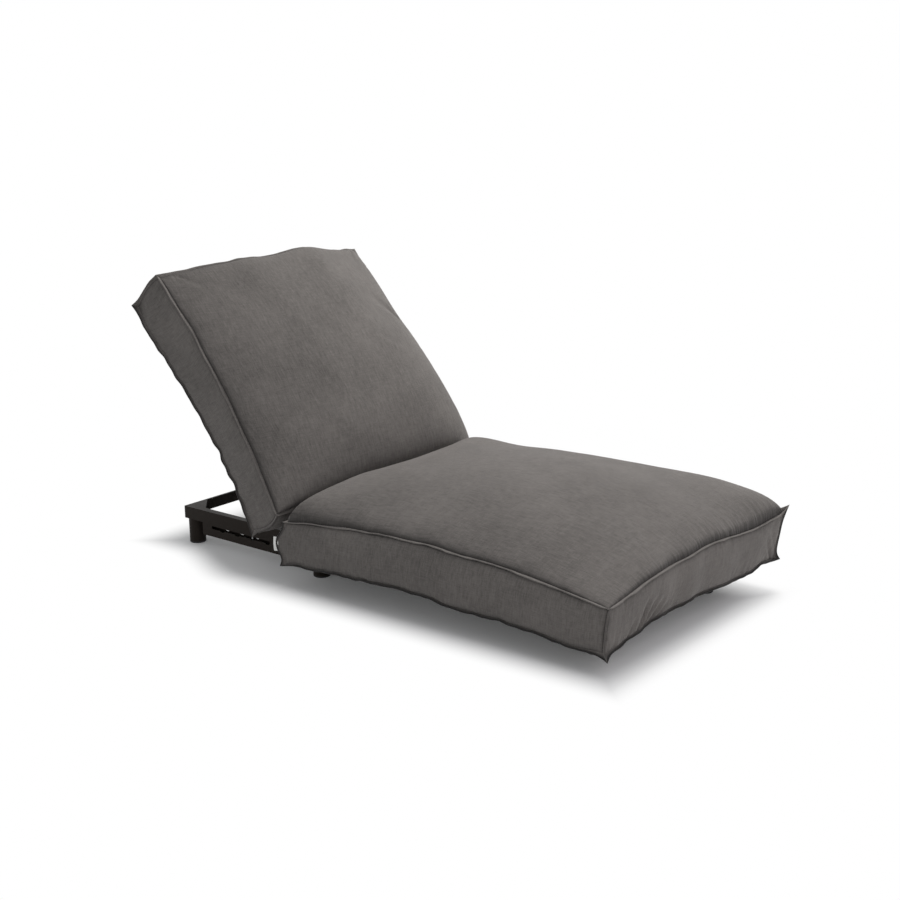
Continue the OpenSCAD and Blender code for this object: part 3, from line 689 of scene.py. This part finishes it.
def seat_cushion():
    """Lies on the deck, with its sides and foot end hanging lower, and its head end sloping away."""
    half = 473 * MM
    foot, head_low, head_top = -914.97 * MM, 263 * MM, 249 * MM
    deck, droop = 130.3 * MM, 46 * MM
    rest_half, rest_foot, end_droop = 333 * MM, -800 * MM, 27 * MM
    rng = np.random.default_rng(11)
    x, y = ACROSS, ALONG

    def underside(at_x, at_y):
        """The underside lies flat on the deck, and hangs lower past the deck's sides and foot end."""
        aside = np.clip((np.abs(at_x) - rest_half) / (half - rest_half), 0, 1.05)
        along = np.clip((at_y - foot) / (head_low - foot), 0, 1)
        past = np.clip((rest_foot - at_y) / (rest_foot - foot), 0, 1.05)
        sides = (droop - 6 * MM * arch(along)) * aside ** 1.5
        ends = end_droop * past ** 1.5
        return deck + 2 * MM - (sides ** 4 + ends ** 4) ** 0.25

    def foot_corner(sign, level):
        """The foot's right corners stand a little further out than its left ones."""
        inset = 10 * MM if level == "low" else 0
        aside, ahead = (6 * MM, 8 * MM) if sign > 0 else (0, 0)
        return sign * (half - inset) + aside, foot + 2.2 * inset - ahead

    def top_side(sign):
        start = (*foot_corner(sign, "top"), 211 * MM if sign < 0 else 234 * MM)
        line = line_between(start, (sign * half, head_top, 226 * MM), y)
        line += np.outer(arch(y, -0.1), (-sign * 21 * MM, 0, 36 * MM))
        return wavy(line, y, rng, (-sign, 0, 0.5), 2 * MM, 0.14, 0.5)

    def low_side(sign):
        line = line_between((*foot_corner(sign, "low"), 0), (sign * half, head_low, 0), y)
        line += np.outer(arch(y), (-sign * 10 * MM, 0, 0))
        line = wavy(line, y, rng, (1, 0, 0), 3 * MM, 0.14, 0.5)
        line[:, 2] = through(SIDE_LOW, line[:, 1])
        return wavy(line, y, rng, (0, 0, 1), 1.5 * MM, 0.05, 0.15)

    def top_foot():
        line = line_between((*foot_corner(-1, "top"), 0), (*foot_corner(1, "top"), 0), x)
        line += np.outer(arch(x), (0, 10 * MM, 0))
        line = wavy(line, x, rng, (0, 1, 0), 2 * MM, 0.14, 0.4)
        line[:, 2] = through(FOOT_TOP, line[:, 0])
        return line

    def top_head():
        line = line_between((-half, head_top, 226 * MM), (half, head_top, 226 * MM), x)
        line += np.outer(arch(x), (0, -16 * MM, -3 * MM))
        return wavy(line, x, rng, (0, 1, 0.4), 2 * MM, 0.14, 0.4)

    def low_foot():
        line = line_between((*foot_corner(-1, "low"), 0), (*foot_corner(1, "low"), 0), x)
        line = wavy(line, x, rng, (0, 1, 0), 4 * MM, 0.1, 0.3)
        line[:, 2] = through(FOOT_LOW, line[:, 0])
        return line

    def low_head():
        line = line_between((-half, head_low, 0), (half, head_low, 0), x)
        line += np.outer(arch(x), (0, -8 * MM, 0))
        line[:, 2] = underside(line[:, 0], line[:, 1])
        return line

    def uprights(end, side, line):
        """How far an upright seam bows along the cushion."""
        bow = np.zeros_like(line)
        if end == "head":
            bow[:, 1] = through(REAR_UPRIGHT, line[:, 2]) * (1.0 if side == "left" else 0.3)
            bow[[0, -1]] = 0
        else:
            bow[:, 1] = 3 * MM * arch(UPRIGHT)
        return bow

    def rest(points):
        """The bottom panel lies a little lower than its seams."""
        points[..., 2] = underside(points[..., 0], points[..., 1]) - 1.5 * MM
        return points

    def pressed(points):
        """The head end slopes away under the back, which clears it when it is raised."""
        u, v = ACROSS[1:-1, None], ALONG[None, 1:-1]
        crest = through(CREST, points[..., 0]) * v ** 6 * swell(u, 0.2)
        full = points[..., 2] + 53 * MM * arch(u) * v + crest
        start = (152 + 20 * (points[..., 0] / half) ** 2) * MM
        top, fall, soft = 370 * MM, 1.763, 7 * MM
        slope = top - fall * (points[..., 1] - start)
        points[..., 2] = -soft * np.logaddexp(-full / soft, -slope / soft)
        return points

    seams = {
        "top_left": top_side(-1), "top_right": top_side(1),
        "low_left": low_side(-1), "low_right": low_side(1),
        "top_foot": top_foot(), "top_head": top_head(), "low_foot": low_foot(), "low_head": low_head(),
    }
    panels = {
        "top": Panel(
            full=98, dome=((0.55, 0.34), (0.4, 0.18), 0.14, -0.05), mottled=2.6, creased=1.7,
            gathers=[
                ("low_v", 0.5, 1.1, 0.55, 36), ("low_v", 0.0, 0.5, 0.3, 25), ("low_u", 0.85, 1.1, 0.4, 30),
            ],
            puffs=[
                (0.97, 0.09, 0.2, 0.2, 42), (0.97, 0.0, 0.2, 0.08, 25), (0.9, 0.45, 0.25, 0.15, -4),
                (0.9, 1.0, 0.2, 0.12, 50), (0.9, 0.72, 0.2, 0.15, -8), (0.5, 0.88, 0.5, 0.07, 10),
            ],
        ),
        "bottom": Panel(),
        "left": Panel(full=18, dome=(0.3, 0.45, 0, 0), mottled=2.0, creased=1.3),
        "right": Panel(full=18, dome=(0.3, 0.45, 0, 0), mottled=2.0, creased=1.3),
        "foot": Panel(
            full=18, dome=(0.3, 0.45, 0, 0), mottled=2.6, creased=1.8,
            gathers=[("low_v", 0.0, 0.4, 1.2, 34), ("low_v", 0.75, 1.05, 1.1, 34)],
            folds=[
                (148, 2, 196, 84, 6, -20), (160, 2, 212, 70, 5, 9), (186, 2, 246, 74, 6, -17),
                (218, 2, 276, 58, 6, -15), (108, 2, 132, 54, 6, -12), (250, 2, 312, 44, 6, -10),
                (908, 4, 846, 84, 6, -19), (884, 2, 826, 60, 6, 9), (934, 24, 866, 106, 7, -13),
            ],
        ),
        "head": Panel(full=-12, dome=(0.5, 0.5, 0, 0), mottled=1.5, creased=1.4),
    }
    ears = {
        "left_foot_low": (-2, -15, -23), "right_foot_low": (12, -20, 2), "right_foot_top": (10, -17, 28),
        "left_foot_top": (-8, -9, 6), "left_head_low": (-2, 24, -7), "right_head_low": (8, 18, -5),
        "left_head_top": (-6, 16, 0),
    }
    # Painted shade on the seat's flanges: the low ones and two uprights near black, the top ones lighter as a
    # painted highlight
    painted_flange_shades = {"top": -0.6, "low": 2.2, "foot_right": 1.7, "head_left": 1.7}
    shapes = {"bottom": rest, "top": pressed}
    place = Matrix.Identity(4)
    sew("seat_pad", 21, seams, panels, ears, place, shapes, painted_flange_shades, uprights, "base", "seat_cushion")


# How far the back is raised in the photograph, in degrees above level
BACK_ANGLE = 53.7
# Left and right corners of the back cushion, low and high, at its underside and at its front, in mm
BACK_CORNERS = {
    ("low", "under"): ((-457, 69), (457, 66)), ("low", "top"): ((-474, 59), (474, 57)),
    ("high", "under"): ((-456, 895), (452, 892)), ("high", "top"): ((-455, 911), (441, 899)),
}
# How far its low side seams draw in: places along and distances, in mm
BACK_LOW = [(0, 0), (150, 22), (350, 30), (500, 22), (650, 6), (760, -8), (830, 0)]
# Two bumps in its top seam at the head end: middle, width and height, in mm
HEAD_BUMPS = ((135, 105, 13), (-150, 190, 4.5))


def back_cushion():
    """Rides on the back frame: x across, y up along the back from the hinge, z out of its front."""
    under, top = 55.3 * MM, 204.3 * MM
    rng = np.random.default_rng(12)
    x, y = ACROSS, ALONG
    droop, low_length = 2 * MM, 0.83
    rest_half, half = 333 * MM, 473 * MM

    def underside(at_x):
        share = np.clip((np.abs(at_x) - rest_half) / (half - rest_half), 0, 1.05)
        return under + 2 * MM - droop * share ** 1.5

    def corner(sign, end, level):
        at_x, at_u = BACK_CORNERS[end, level][0 if sign < 0 else 1]
        return at_x * MM, at_u * MM, top if level == "top" else 0

    def top_side(sign):
        line = line_between(corner(sign, "low", "top"), corner(sign, "high", "top"), y)
        line += np.outer(arch(y), (-sign * 18 * MM, 0, 15 * MM))
        return wavy(line, y, rng, (-sign, 0, 0.5), 2 * MM, 0.14, 0.5)

    def low_side(sign):
        line = line_between(corner(sign, "low", "under"), corner(sign, "high", "under"), y)
        line[:, 0] -= sign * through(BACK_LOW, y * low_length)
        line = wavy(line, y, rng, (1, 0, 0), 3 * MM, 0.05, 0.2)
        line[:, 2] = underside(line[:, 0])
        return line

    def top_end(end, rise, pull):
        line = line_between(corner(-1, end, "top"), corner(1, end, "top"), x)
        line += np.outer(arch(x), (0, pull, rise))
        if end == "high":
            for middle, wide, height in HEAD_BUMPS:
                bump = height * MM * np.exp(-((line[:, 0] / MM - middle) / wide) ** 2)
                line += np.outer(bump, (0, 1, 0.9))
        return wavy(line, x, rng, (0, 1, 0.4), 1.5 * MM, 0.14, 0.4)

    def low_end(end, pull):
        line = line_between(corner(-1, end, "under"), corner(1, end, "under"), x)
        line += np.outer(arch(x), (0, pull, 0))
        line = wavy(line, x, rng, (0, 1, 0), 2 * MM, 0.14, 0.4)
        line[:, 2] = underside(line[:, 0])
        return line

    def uprights(end, side, line):
        """Every upright seam bows outwards, away from the middle of the back."""
        return np.outer(arch(UPRIGHT, -0.3), (0, 13 * MM if end == "head" else -14 * MM, 0))

    def rest(points):
        """The bottom panel lies a little lower than its seams."""
        points[..., 2] = underside(points[..., 0]) - 1.5 * MM
        return points

    seams = {
        "top_left": top_side(-1), "top_right": top_side(1),
        "low_left": low_side(-1), "low_right": low_side(1),
        "top_foot": top_end("low", 10 * MM, 12 * MM), "top_head": top_end("high", 46 * MM, -10 * MM),
        "low_foot": low_end("low", 6 * MM), "low_head": low_end("high", -8 * MM),
    }
    panels = {
        "top": Panel(
            full=107, dome=((0.5, 0.34), 0.24, 0.23, -0.45), mottled=2.6, creased=1.6,
            gathers=[("low_v", 0.0, 0.3, 0.7, 40), ("high_u", 0.6, 0.85, 0.5, 40)],
            folds=[(905, 528, 776, 630, 20, -14), (892, 838, 840, 780, 8, -10), (60, 838, 120, 770, 10, -6)],
            puffs=[(0.95, 0.3, 0.2, 0.25, 7), (0.95, 0.65, 0.2, 0.12, -10), (0.45, 0.07, 0.3, 0.1, -8)],
        ),
        "bottom": Panel(),
        "left": Panel(full=10, dome=(0.6, 0.4, 0, 0), mottled=2.2, creased=1.4),
        "right": Panel(full=10, dome=(0.6, 0.4, 0, 0), mottled=2.2, creased=1.4),
        "foot": Panel(
            full=27, dome=(0.3, 0.35, 0, -0.25), mottled=2.4, creased=3.0,
            gathers=[("low_v", 0.0, 1.0, 0.8, 40), ("high_v", 0.0, 1.0, 0.5, 30)],
        ),
        "head": Panel(full=8, dome=(0.6, 0.5, 0, 0), mottled=1.5, creased=1.4),
    }
    ears = {
        "left_foot_low": (-13, -18, -8), "left_foot_top": (-7, -7, 5), "left_head_low": (-24, 8, -2),
        "left_head_top": (-11, 10, 4), "right_head_top": (11, 9, 2), "right_head_low": (16, 8, -4),
        "right_foot_low": (10, -8, -6), "right_foot_top": (7, -7, 5),
    }
    hinge = Vector(joints["back_tilt"]["pos_m"])
    place = Matrix.Translation(hinge) @ Matrix.Rotation(np.radians(BACK_ANGLE), 4, "X")
    # Painted shade darkens the back's low flanges, and a painted highlight lightens its top ones
    painted_flange_shades = {"top": -0.25, "low": 1.4}
    shapes = {"bottom": rest}
    sew("back_pad", 22, seams, panels, ears, place, shapes, painted_flange_shades, uprights, "back", "back_cushion")


def seat_label():
    """A blank ribbon folded into a flat loop, sewn into the seat cushion's rear left upright seam."""
    thick, deep, long, ribbon_thick = 0.0013, 0.0078, 0.045, 0.0007
    flare, bulge, smooth_below = 0.5, 0.0012, 0.7
    sewn_in, turn = (-0.4768, 0.2974, 0.1495), np.radians(12)
    bpy.ops.mesh.primitive_cylinder_add(vertices=40, radius=1, depth=1, end_fill_type="NOTHING")
    loop = bpy.context.object
    loop.name = "label_loop"
    bpy.ops.object.mode_set(mode="EDIT")
    bpy.ops.mesh.select_all(action="SELECT")
    bpy.ops.transform.resize(value=(thick, deep, long))
    bpy.ops.mesh.subdivide(number_cuts=3)
    bpy.ops.object.mode_set(mode="OBJECT")
    for vert in loop.data.vertices:
        along = vert.co.y / deep
        vert.co.x *= 1.0 + flare * along
        vert.co.x -= bulge * (1 + along) * np.cos(vert.co.z / long * np.pi)
    bpy.ops.object.mode_set(mode="EDIT")
    bpy.ops.mesh.select_all(action="SELECT")
    bpy.ops.mesh.remove_doubles(threshold=1e-6)
    bpy.ops.mesh.normals_make_consistent(inside=False)
    bpy.ops.object.mode_set(mode="OBJECT")
    wall = loop.modifiers.new("ribbon", "SOLIDIFY")
    wall.thickness = ribbon_thick
    wall.offset = 0
    bpy.ops.object.modifier_apply(modifier="ribbon")
    bpy.ops.object.shade_smooth_by_angle(angle=smooth_below)
    loop.data.transform(Matrix.Translation(sewn_in) @ Matrix.Rotation(turn, 4, "Z"))
    loop.data.materials.append(finishes["label"])
    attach(loop, "base")
    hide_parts("seat_label")


seat_cushion()
back_cushion()
seat_label()


# Floor, light and background

def stage_floor():
    """A light grey floor that keeps the lounger's shadow, and fades to white past the photograph's shadow."""
    bpy.ops.mesh.primitive_plane_add(size=40)
    floor = bpy.context.object
    floor.name = "studio_floor"
    paint = Finish("studio_floor", 0.9)
    paint.set("Base Color", (0.9, 0.9, 0.9, 1))
    paint.set("Specular IOR Level", 0.1)
    path = paint.tree.nodes.new("ShaderNodeLightPath")
    seen = Val(paint.tree, path.outputs["Is Camera Ray"])
    place = paint.own_place()
    parts = paint.tree.nodes.new("ShaderNodeSeparateXYZ")
    put(paint.tree, parts.inputs[0], place)
    at_x, at_y = (Val(paint.tree, parts.outputs[k]) for k in (0, 1))

    def rise(value, low, high):
        """Goes from 0 at low to 1 at high."""
        made = paint.node("ShaderNodeMapRange", Value=value, settings={"interpolation_type": "SMOOTHSTEP"})
        made.socket.node.inputs["From Min"].default_value = low
        made.socket.node.inputs["From Max"].default_value = high
        return made

    # White starts past the shadow's left and right sides, which draw in at the head, and past its two ends
    narrower = rise(at_y, 0.5, 0.85) * 0.11
    beside = rise(narrower - at_x, 0.42, 0.57).math("MAXIMUM", rise(at_x + narrower, 0.28, 0.52))
    fade = beside.math("MAXIMUM", rise(at_y * -1.0, 0.86, 1.02)).math("MAXIMUM", rise(at_y, 0.9, 1.08))
    least = 0.06
    fade = fade * (1 - least) + least
    glow = paint.node("ShaderNodeEmission", Color=(1, 1, 1, 1), Strength=1.0)
    mix = paint.tree.nodes.new("ShaderNodeMixShader")
    put(paint.tree, mix.inputs[0], seen * fade)
    paint.tree.links.new(paint.shader.outputs[0], mix.inputs[1])
    paint.tree.links.new(glow.socket, mix.inputs[2])
    paint.tree.links.new(mix.outputs[0], paint.tree.nodes["Material Output"].inputs["Surface"])
    floor.data.materials.append(paint.material)


def studio_world():
    """White for the camera, in mirrors and through glass, and a soft cool light for everything else."""
    ambient_colour, ambient_strength = (0.97, 0.985, 1.0, 1), 0.48
    world = bpy.data.worlds.new("studio")
    bpy.context.scene.world = world
    world.use_nodes = True
    tree = world.node_tree
    tree.nodes.clear()
    path = tree.nodes.new("ShaderNodeLightPath")
    seen = (
        Val(tree, path.outputs["Is Camera Ray"])
        .math("MAXIMUM", Val(tree, path.outputs["Is Glossy Ray"]))
        .math("MAXIMUM", Val(tree, path.outputs["Is Transmission Ray"]))
    )
    ambient = tree.nodes.new("ShaderNodeBackground")
    ambient.inputs["Color"].default_value = ambient_colour
    ambient.inputs["Strength"].default_value = ambient_strength
    white = tree.nodes.new("ShaderNodeBackground")
    white.inputs["Color"].default_value = (1, 1, 1, 1)
    mix = tree.nodes.new("ShaderNodeMixShader")
    put(tree, mix.inputs[0], seen)
    tree.links.new(ambient.outputs[0], mix.inputs[1])
    tree.links.new(white.outputs[0], mix.inputs[2])
    output = tree.nodes.new("ShaderNodeOutputWorld")
    tree.links.new(mix.outputs[0], output.inputs["Surface"])


def soft_lamp(name, place, target, size, power, colour):
    """A square lamp that shines from its place on a target."""
    bpy.ops.object.light_add(type="AREA", location=place)
    lamp = bpy.context.object
    lamp.name = name
    lamp.rotation_euler = (Vector(target) - Vector(place)).to_track_quat("-Z", "Y").to_euler()
    lamp.data.size = size
    lamp.data.energy = power
    lamp.data.color = colour


stage_floor()
studio_world()
soft_lamp(
    "key_lamp", place=(2.3, 0.1, 3.7), target=(0, 0, 0.3),
    size=1.6, power=126, colour=(1.0, 0.985, 0.96),
)
soft_lamp(
    "fill_lamp", place=(-1.2, -3.6, 2.6), target=(0, -0.3, 0.3),
    size=2.4, power=27, colour=(1.0, 0.95, 0.985),
)

bpy.context.scene.view_settings.view_transform = "Standard"
